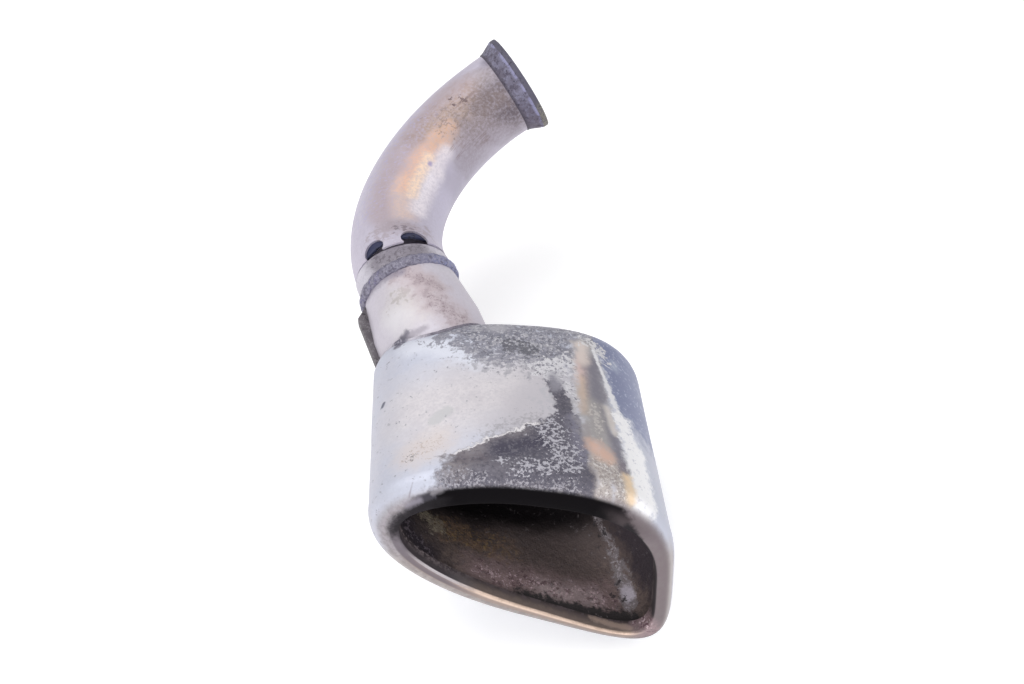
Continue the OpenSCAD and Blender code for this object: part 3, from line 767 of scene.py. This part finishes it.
# heat tint and painted shade of the bead, in a thin darker line just under it
tint_and_shade_under_bead = satin.streak((-110, -166, -30), (-86, -166, -10), 2.6, 0.9, 0.6, 240)
tint_and_shade_under_bead.paint(0.7, (136, 130, 146))
blob_from, blob_to = (-93, -214, -24.8), (-86, -208.4, -20.4)
satin.streak(blob_from, blob_to, 3.2, 0.5, 0.6, 300).paint(0.9, (112, 109, 122), 0.7)
satin.streak((-84, -209.6, -20), (-75, -207.4, -16.6), 1.9, 0.8, 0.6, 260).paint(0.85, (164, 158, 168))
satin.flecks(200, 0.5, 0.3).raise_by(0.05)
settle(neck, satin, "neck", "neck_pipe")

# Weld between the neck and the casing: a small smooth run in the corner, with a burnt blob
# where it was started on the upper left.
casing_shape = bmesh.new()
casing_shape.from_mesh(casing.data)
casing_skin = BVHTree.FromBMesh(casing_shape)
casing_shape.free()


def corner_point(turn):
    """Where the neck's outside meets the casing, going round the neck."""
    along = neck_frame.to_3x3() @ Vector((0, 0, -1))
    start = neck_frame @ Vector(((neck_r + 0.3) * mm * math.cos(turn),
                                 (neck_r + 0.3) * mm * math.sin(turn), 20 * mm))
    return casing_skin.ray_cast(start, along)[0]


def bead_round(name, middle_at, radius_at, around=256, sides=16):
    """A ring is drawn out along a closed line, with ripples as a welder leaves them."""
    bpy.ops.object.select_all(action="DESELECT")
    bpy.ops.mesh.primitive_torus_add(major_segments=around, minor_segments=sides,
                                     major_radius=1, minor_radius=0.1)
    bead = bpy.context.object
    bead.name = name
    line = [middle_at(2 * math.pi * i / around) for i in range(around)]
    centre = sum(line, Vector()) / around
    for v in bead.data.vertices:
        i, j = divmod(v.index, sides)
        ahead = (line[(i + 1) % around] - line[i - 1]).normalized()
        outward = line[i] - centre
        outward = (outward - ahead * outward.dot(ahead)).normalized()
        up = ahead.cross(outward)
        a = 2 * math.pi * j / sides
        r = radius_at(2 * math.pi * i / around, a, line[i])
        v.co = line[i] + (outward * math.cos(a) + up * math.sin(a)) * r * mm
    bpy.ops.object.mode_set(mode="EDIT")
    bpy.ops.mesh.select_all(action="SELECT")
    bpy.ops.mesh.normals_make_consistent(inside=False)
    bpy.ops.object.mode_set(mode="OBJECT")
    bpy.ops.object.shade_smooth()
    return bead


def corner_radius(turn, a, point):
    blob = math.exp(-((point / mm - Vector((-90, -212, -23))).length / 4.5) ** 2)
    return 1.1 + 0.05 * math.sin(turn * 95) + (0.15 + 0.4 * blob) * noise.noise(point * 180) + 1.1 * blob


corner_weld = bead_round("corner_weld", corner_point, corner_radius)
silver = Finish("corner_weld_metal", (202, 198, 207), 0.6, 0.4)
silver.flecks(180, 0.52, 0.08).paint(0.8, (186, 182, 193))
shadowed = silver.side((-77, -211, -18), (1, 0, -0.2), 0.4, 0.4, 160)
shadowed.paint(0.95, (124, 119, 131), 0.65)
(shadowed & silver.flecks(420, 0.54, 0.04)).paint(0.7, (98, 94, 106))
blob = silver.streak(blob_from, blob_to, 4, 0.6, 0.8, 260)
blob.paint(0.95, (100, 98, 112), 0.7, 0.3)
blob.spray(420, 0.54, 0.03).paint(0.8, (164, 160, 172), 0.55)
silver.flecks(420, 0.5, 0.3).raise_by(0.2)
settle(corner_weld, silver, "weld", "neck_weld")

# Saddle plate: a curved strip of thick plate under the neck, dull grey, that starts flush
# with the cone at the upper weld and ends in the casing's back.
saddle_t, saddle_top, saddle_start, saddle_end = 3.2, 5.5, 12.5, 45
plate_section = [(-saddle_top, cone_at(-saddle_top)), (-20, cone_at(-20)), (-cone_len, neck_r),
                 (-saddle_end, neck_r), (-saddle_end, neck_r + saddle_t),
                 (-saddle_start, neck_r + saddle_t)]


def plate_place(turn, degrees):
    """The section, one corner for each point of the circle, at an angle round the neck."""
    z, r = plate_section[round(turn / (2 * math.pi) * len(plate_section))]
    a = math.radians(degrees)
    return neck_frame @ Vector((r * mm * math.cos(a), -r * mm * math.sin(a), z * mm))


plate = draw_out("saddle_plate", len(plate_section), [176 + 173 * i / 72 for i in range(73)],
                 plate_place, ends="closed")


def soften_edges(piece, width, degrees=40, segments=2):
    """Small rounding of all sharp edges."""
    bevel = piece.modifiers.new("edges", "BEVEL")
    bevel.width = width * mm
    bevel.segments = segments
    bevel.limit_method = "ANGLE"
    bevel.angle_limit = math.radians(degrees)
    bevel.use_clamp_overlap = True
    only(piece)
    bpy.ops.object.modifier_apply(modifier="edges")


soften_edges(plate, 0.4, 25)
smooth_faces(plate, 35)
dull = Finish("plate_steel", (106, 101, 106), 0.62, 0.45)
dull.flecks(90, 0.5, 0.12).paint(0.7, (84, 79, 84))
dull.flecks(420, 0.56, 0.04).paint(0.6, (142, 137, 142))
dull.flecks(300, 0.6, 0.03).paint(0.8, (58, 54, 60), 0.7)
dull.flecks(260, 0.5, 0.3).raise_by(0.12)
settle(plate, dull, "plate", "support_saddle")

# Collar: a turned ring under the bent pipe with a thin sleeve that reaches up inside it.
# The ring is satin steel; the sleeve shows dark in the two notches, sooty and with painted shade.
collar_r, collar_h, collar_tilt, collar_dip = 28.3, 10.6, 5.8, 1.8
sleeve_r, sleeve_wall, bend_r, bend_deg = 26.15, 1.2, 116.5, 87.2
inner_r = sleeve_r - sleeve_wall
cut_frame = (neck_frame @ Matrix.Translation((0, 0, collar_h * mm))
             @ Matrix.Rotation(math.radians(collar_tilt), 4, "Y") @ Matrix.Rotation(math.radians(-collar_dip), 4, "X"))
pipe_frame = turned_frame(mouth_middle + Vector((-50.42, 194.54, 21.21)), 12.2, -8.4, 24.2)


def collar_place(turn, ring):
    """Ring of the collar: its top follows the slanting joint with the pipe."""
    z, r, on_cut = ring
    x, y = r * math.cos(turn), r * math.sin(turn)
    if on_cut:
        tilt = neck_frame.to_3x3().inverted() @ cut_frame.to_3x3() @ Vector((0, 0, 1))
        z += collar_h - (tilt.x * x + tilt.y * y) / tilt.z
    return neck_frame @ Vector((x * mm, y * mm, z * mm))


collar_rings = [(0, inner_r, False), (0, collar_r, False), (2.5, collar_r, False), (-1.2, collar_r, True),
                (-0.5, collar_r - 0.08, True), (-0.12, collar_r - 0.4, True), (0, collar_r - 0.9, True),
                (0, inner_r, True)]
collar = draw_out("collar_ring", 128, collar_rings, collar_place, ends="joined")
smooth_faces(collar, 45)


def along_bend(turn, ring):
    """Ring of the bent pipe at an angle of its bend."""
    degrees, r = ring
    a = math.radians(degrees)
    centre = Vector((bend_r * (1 - math.cos(a)), 0, bend_r * math.sin(a)))
    out = Vector((math.cos(a), 0, -math.sin(a)))
    point = centre + out * r * math.cos(turn) + Vector((0, 1, 0)) * r * math.sin(turn)
    return pipe_frame @ (point * mm)


sleeve_rings = [(0, sleeve_r), (4, sleeve_r), (9, sleeve_r), (9, inner_r), (4, inner_r), (0, inner_r)]
sleeve = draw_out("sleeve", 128, sleeve_rings, along_bend, ends="joined")
smooth_faces(sleeve, 45)
band = Finish("collar_steel", (208, 204, 214), 0.6, 0.35)
band.flecks(80, 0.52, 0.15).paint(0.6, (194, 189, 201))
band.flecks(560, 0.57, 0.04).paint(0.5, (170, 166, 180))
dulled = band.streak((-98, -153, -11), (-76, -151, -7), 9, 0.8, 0.5, 160)
dulled.paint(0.95, (132, 126, 136), 0.65)
dulled.spray(460, 0.54, 0.04).paint(0.8, (104, 98, 108), 0.7)
joint = band.attribute("step")
at_joint = band.between(joint, 3.4, 4.4) & band.flecks(260, 0.44, 0.08)
at_joint.paint(0.9, (112, 107, 122), 0.7)
band.flecks(240, 0.5, 0.3).raise_by(0.06)
settle(collar, band, "collar", "collar")
# soot and painted shade: the sleeve is dark navy where it shows in the recess of the notches
soot_and_shade_lining = Finish("sleeve_soot_and_shade", (58, 62, 92), 0.5, 0.5)
soot_and_shade_lining.flecks(120, 0.5, 0.1).paint(0.7, (72, 74, 98), 0.55)
soot_and_shade_lining.flecks(240, 0.58, 0.05).paint(1, (34, 34, 46), 0.7)
soot_and_shade_lining.flecks(300, 0.5, 0.3).raise_by(0.2)
settle(sleeve, soot_and_shade_lining, "collar")

# Upper weld: a rough bead all round the joint of neck and collar, flattened, with the
# fine ripples of the torch, and coloured grey, lilac and blue by the heat.
bead_h, bead_w, bead_drop = 3, 6.4, 1.4


def joint_point(turn):
    r = neck_top_r + 0.7 + 0.2 * noise.noise(Vector((math.cos(turn), math.sin(turn), 0)) * 3)
    drift = 0.4 * noise.noise(Vector((math.cos(turn), math.sin(turn), 4)) * 2.2)
    return neck_frame @ Vector((r * mm * math.cos(turn), r * mm * math.sin(turn), (drift - bead_drop) * mm))


def joint_radius(turn, a, point):
    """Flattened round of the bead with its ripples."""
    thick, wide = bead_h - 1, bead_w / 2 + 0.4
    flat = 1 / math.hypot(math.cos(a) / thick, math.sin(a) / wide)
    return flat + 0.1 * math.sin(turn * 76 + 1.5 * math.sin(a)) + 0.45 * noise.noise(point * 420)


joint_weld = bead_round("joint_weld_bead", joint_point, joint_radius)
rough = Finish("weld_metal", (134, 130, 147), 0.62, 0.45)
rough.flecks(150, 0.5, 0.1).paint(0.8, (116, 112, 130))
blued = rough.side((-70, -150, -20), (1, 0.2, 0), 0.9, 0.6, 90, width=16)
(blued & rough.flecks(90, 0.44, 0.12)).paint(0.85, (146, 151, 192), 0.55)
violet = rough.streak((-110, -160, -38), (-98, -162, -18), 5, 0.9, 0.6, 160)
violet.spray(240, 0.48, 0.06).paint(0.7, (110, 103, 150))
rough.flecks(640, 0.52, 0.08).paint(0.7, (166, 163, 179), 0.55)
rough.flecks(460, 0.57, 0.06).paint(0.65, (92, 88, 104), 0.7)
rough.flecks(420, 0.5, 0.3).raise_by(0.5)
rough.flecks(900, 0.5, 0.3).raise_by(0.2)
settle(joint_weld, rough, "weld", "joint_weld")

# Bent inlet pipe: stainless tube bent to a right angle, with a half-moon notch on top of
# its lower end and a smaller one on the left. It has long drawing lines, heat tints and a painted highlight.
pipe_r, pipe_wall = 27.8, 1.5


def pipe_place(turn, ring):
    """Point of the pipe, with the shallow unevenness that the bending left."""
    degrees, r = ring
    dent = 0.35 * (0.5 + 0.5 * noise.noise(along_bend(turn, ring) * 28))
    return along_bend(turn, (degrees, r - dent * min(1, (bend_deg - degrees) / 6)))


pipe_rings = [(-7 + (bend_deg + 7) * i / 72, pipe_r) for i in range(73)]
pipe_rings += [(bend_deg - (bend_deg + 7) * i / 24, pipe_r - pipe_wall) for i in range(25)]
pipe = draw_out("bent_inlet_pipe", 144, pipe_rings, pipe_place, ends="joined")
bpy.ops.object.select_all(action="DESELECT")
bpy.ops.mesh.primitive_cube_add(size=0.12)
cut_away(pipe, bpy.context.object, cut_frame @ Matrix.Translation((0, 0, -0.06)))
for degrees, notch_r, notch_up in ((75, 8, 3), (126, 6.9, 3.8)):
    bpy.ops.object.select_all(action="DESELECT")
    bpy.ops.mesh.primitive_cylinder_add(vertices=64, radius=notch_r * mm, depth=45 * mm)
    cut_away(pipe, bpy.context.object,
             cut_frame @ Matrix.Translation((0, 0, notch_up * mm)) @ Matrix.Rotation(math.radians(-degrees), 4, "Z")
             @ Matrix.Rotation(math.radians(90), 4, "Y") @ Matrix.Translation((0, 0, 22.5 * mm)))
smooth_faces(pipe, 35)
pipe.data.attributes.new("unrolled", "FLOAT_VECTOR", "POINT")
pipe.data.attributes.new("lines", "FLOAT_VECTOR", "POINT")
unrolled, lines = pipe.data.attributes["unrolled"], pipe.data.attributes["lines"]
to_bend = pipe_frame.inverted()
for v in pipe.data.vertices:
    at = (to_bend @ v.co) / mm - Vector((bend_r, 0, 0))
    bend = math.atan2(at.z, -at.x)
    turn = math.atan2(at.y, bend_r - math.hypot(at.x, at.z))
    turn = (turn + math.pi + math.radians(46)) % (2 * math.pi) - math.pi
    unrolled.data[v.index].vector = Vector((pipe_r * turn, bend_r * bend, 0)) * mm
    lines.data[v.index].vector = Vector((math.cos(turn), math.sin(turn), bend * 0.25))
tube = Finish("pipe_steel", (204, 198, 213), 0.55, 0.45)
flat = tube.attribute("unrolled", "Vector")
drawn = tube.attribute("lines", "Vector")


def band_along(width, softness, ragged, *points):
    """Mask of a band through points on the unrolled pipe, each (across, along) in millimetres."""
    runs = [tube.streak((*a, 0), (*b, 0), width, softness, ragged, 90, flat) for a, b in zip(points, points[1:])]
    whole = runs[0]
    for run in runs[1:]:
        whole |= run
    return whole


tube.flecks(60, 0.55, 0.12).paint(0.5, (194, 187, 203), 0.6)
tube.flecks(9, 0.5, 0.12, place=drawn).paint(0.4, (196, 190, 205))
for width, colour, points in (
        (13, (196, 191, 210), ((26, 18), (26, 92))), (12, (174, 168, 184), ((27, 92), (27, 116))),
        (14, (154, 145, 154), ((22, 118), (30, 172))), (9, (186, 170, 175), ((-17, 34), (-17, 150))),
        (8, (176, 160, 166), ((-14, 22), (-12, 50), (-9.5, 80), (-9, 110))),
        (10, (162, 142, 137), ((-9, 104), (-8, 160))), (10, (172, 150, 136), ((-1, 118), (3, 152))),
        (9, (136, 124, 128), ((12, 132), (20, 168))), (11, (112, 101, 105), ((6, 164), (22, 174))),
        (7, (222, 198, 188), ((-3, 26), (-4, 60))), (6, (232, 190, 164), ((-3, 56), (-1.6, 84), (1.5, 110))),
        # the near-white bands (246, 239, 245) and (232, 224, 230) are a painted highlight down the pipe
        (5, (214, 178, 156), ((1, 106), (1, 124))), (5.5, (246, 239, 245), ((6, 34), (9, 60), (9.6, 84))),
        (4.5, (232, 224, 230), ((9.6, 84), (9, 106))),
        (3.4, (252, 226, 202), ((1, 50), (2, 72), (2.6, 92))), (7, (172, 160, 168), ((-12, 13), (-3, 11))),
        (5, (122, 116, 134), ((-17, 178), (0, 178))), (8, (148, 138, 140), ((-8, 171), (3, 173))),
        (9, (98, 88, 96), ((5, 175), (17, 172))), (6, (122, 108, 108), ((5, 150), (8, 171)))):
    band_along(width, 0.9, 0.4, *points).paint(0.85, colour)
tube.flecks(560, 0.52, 0.14).paint(0.4, (186, 179, 194), 0.62)
(band_along(14, 0.8, 0.3, (-26, 40), (-24, 120)) & tube.flecks(460, 0.57, 0.04)).paint(0.6, (184, 178, 212))
scored = band_along(6, 0.8, 0.5, (-11, 132), (-6, 152)) | band_along(5, 0.8, 0.5, (14, 112), (22, 140))
(scored & tube.flecks(22, 0.56, 0.05, place=drawn)).paint(0.6, (134, 116, 118), 0.65)
band_along(6, 0.9, 0.6, (-9, 141), (-7, 148)).spray(260, 0.54, 0.03).paint(0.8, (104, 86, 92), 0.7)
band_along(16, 0.8, 0.5, (-4, 124), (8, 168)).spray(420, 0.54, 0.04).paint(0.55, (128, 114, 112), 0.65)
tube.stain((4.7, 87, 0), (1.5, 2.2, 10), 0.7, 0.4, 300, place=flat).paint(0.8, (162, 154, 196))
lower_end = band_along(12, 0.8, 0.5, (-20, 10), (6, 8))
lower_end.spray(300, 0.5, 0.06).paint(0.7, (172, 160, 168))
band_along(5, 0.7, 0.6, (-10, 8), (-2, 9)).spray(420, 0.5, 0.04).paint(0.7, (126, 116, 124), 0.65)
tube.flecks(160, 0.5, 0.3).raise_by(0.05)
tube.flecks(30, 0.5, 0.3, place=drawn).raise_by(0.04)
settle(pipe, tube, "pipe", "inlet_pipe")

# Inlet flange: a cone pressed out of the pipe's end to a thick rim for a ring clamp. It is
# dull and pitted, with a painted highlight along the ridge where the cone meets the rim.
rim_r, flange_d, face_w, land_d, step_t = 32.5, 13.5, 2.6, 4, 0.5
bend_end = pipe_frame @ Matrix.Translation((bend_r * mm, 0, 0)) @ Matrix.Rotation(
    math.radians(bend_deg), 4, "Y") @ Matrix.Translation((-bend_r * mm, 0, 0))
foot = pipe_r + step_t
flange_rings = [(0, pipe_r - pipe_wall), (0, pipe_r + 0.1), (0.4, foot), (1.4, foot + 0.15),
                (3, foot + 0.8), (4.9, foot + 1.7), (7, foot + 2.7), (9.2, rim_r - step_t),
                (9.7, rim_r - 0.12), (10.1, rim_r - 0.02), (12.9, rim_r), (flange_d - 0.15, rim_r - 0.2),
                (flange_d, rim_r - 0.6), (flange_d, rim_r - face_w + 0.3), (flange_d - 0.2, rim_r - face_w),
                (9, pipe_r - 0.2), (land_d, pipe_r - pipe_wall)]


def flange_place(turn, ring):
    """Ring of the flange, worn a little unevenly outside the pipe."""
    z, r = ring
    wear = 0.22 * (0.5 + 0.5 * noise.noise(set_on(bend_end)(turn, ring) * 240)) if r > foot + 0.5 else 0
    return set_on(bend_end)(turn, (z - 0.4 * wear, r - wear))


flange = draw_out("flared_flange", 192, flange_rings, flange_place, ends="joined")
smooth_faces(flange, 45)
grey = Finish("flange_steel", (124, 121, 141), 0.6, 0.45)
ring = grey.attribute("step")
grey.flecks(90, 0.5, 0.1).paint(0.85, (102, 96, 111))
grey.flecks(300, 0.54, 0.06).paint(0.6, (142, 140, 162))
grey.flecks(260, 0.57, 0.04).paint(0.75, (80, 74, 90), 0.68)
low_end = grey.side((0, 0, 2), (0, 0, -1), 0.9, 0.6, 120)
(low_end & grey.flecks(120, 0.46, 0.1)).paint(0.7, (98, 88, 102))
rim_band = grey.between(ring, 7.5, 8.5)
rim_band.paint(0.9, (92, 89, 104), 0.65, 0.4)
(rim_band & low_end).paint(0.8, (106, 101, 102))
(rim_band & low_end & grey.flecks(420, 0.5, 0.04)).paint(0.7, (142, 139, 128))
# painted highlight: pale bluish flecks along the ridge where the cone meets the rim
ridge_highlight = grey.between(ring, 6.2, 6.9) - grey.between(ring, 7.9, 8.8)
(ridge_highlight & grey.flecks(70, 0.5, 0.06)).paint(0.85, (158, 157, 192), 0.5)
foot_line = ~grey.between(ring, 2.6, 3.8)
foot_line.paint(0.8, (84, 78, 90), 0.65)
grey.flecks(420, 0.6, 0.03).paint(0.8, (60, 54, 68), 0.7)
grey.between(ring, 14.5, 15.5).paint(0.9, (74, 66, 62), 0.7, 0.3)
grey.flecks(300, 0.5, 0.3).raise_by(0.2)
settle(flange, grey, "flange", "inlet_flange")

# Table, light and camera: a plain white table under soft light, seen from above the mouth.
bpy.ops.object.select_all(action="DESELECT")
bpy.ops.mesh.primitive_plane_add(size=8, location=(0, 0, cad_low.z - 0.0005))
table = bpy.context.object
table.name = "table"
paper = bpy.data.materials.new("white_table")
paper.use_nodes = True
tree = paper.node_tree
tree.nodes.clear()
matt = add_node(tree, "ShaderNodeBsdfDiffuse")
matt.inputs["Color"].default_value = (0.9, 0.9, 0.9, 1)
path = add_node(tree, "ShaderNodeLightPath").outputs
looked_at = sum_of(tree, "MAXIMUM", sum_of(tree, "MAXIMUM", path["Is Camera Ray"], path["Is Glossy Ray"]),
                   path["Is Transmission Ray"])
glow = add_node(tree, "ShaderNodeEmission")
feed(tree, glow.inputs["Strength"], sum_of(tree, "MULTIPLY", looked_at, 0.3))
lit = add_node(tree, "ShaderNodeAddShader")
feed(tree, lit.inputs[0], matt.outputs[0])
feed(tree, lit.inputs[1], glow.outputs[0])
feed(tree, add_node(tree, "ShaderNodeOutputMaterial").inputs["Surface"], lit.outputs[0])
table.data.materials.append(paper)

world = bpy.data.worlds.new("white_room")
bpy.context.scene.world = world
world.use_nodes = True
sky = world.node_tree.nodes["Background"]
sky.inputs["Color"].default_value = (1, 1, 1, 1)
seen_direct = add_node(world.node_tree, "ShaderNodeLightPath").outputs["Is Camera Ray"]
feed(world.node_tree, sky.inputs["Strength"],
     sum_of(world.node_tree, "MULTIPLY_ADD", seen_direct, 0.38, 0.62))


def soft_lamp(name, place, aim, size, power):
    lamp = bpy.data.lights.new(name, "AREA")
    lamp.shape = "DISK"
    lamp.size = size
    lamp.energy = power
    stand = bpy.data.objects.new(name, lamp)
    bpy.context.scene.collection.objects.link(stand)
    stand.location = place
    stand.rotation_euler = (aim - place).to_track_quat("-Z", "Y").to_euler()


middle = (cad_low + cad_high) / 2
soft_lamp("lamp_above", middle + Vector((-0.5, 0.3, 1.2)), middle, 1.0, 7)
soft_lamp("lamp_right", middle + Vector((1.1, -0.5, 0.7)), middle, 0.7, 3)
soft_lamp("lamp_front", middle + Vector((-0.15, -1.3, 0.5)), middle, 0.9, 8)

eye = bpy.data.cameras.new("photo_camera")
eye.sensor_width = 36
eye.lens = 49.21875
eye.clip_start = 0.01
tripod = bpy.data.objects.new("photo_camera", eye)
bpy.context.scene.collection.objects.link(tripod)
tripod.location = (-0.0851597, -0.7649262, 0.5089637)
tripod.rotation_euler = (math.radians(46), 0, math.radians(-5.921))
bpy.context.scene.camera = tripod
bpy.context.scene.view_settings.view_transform = "Standard"
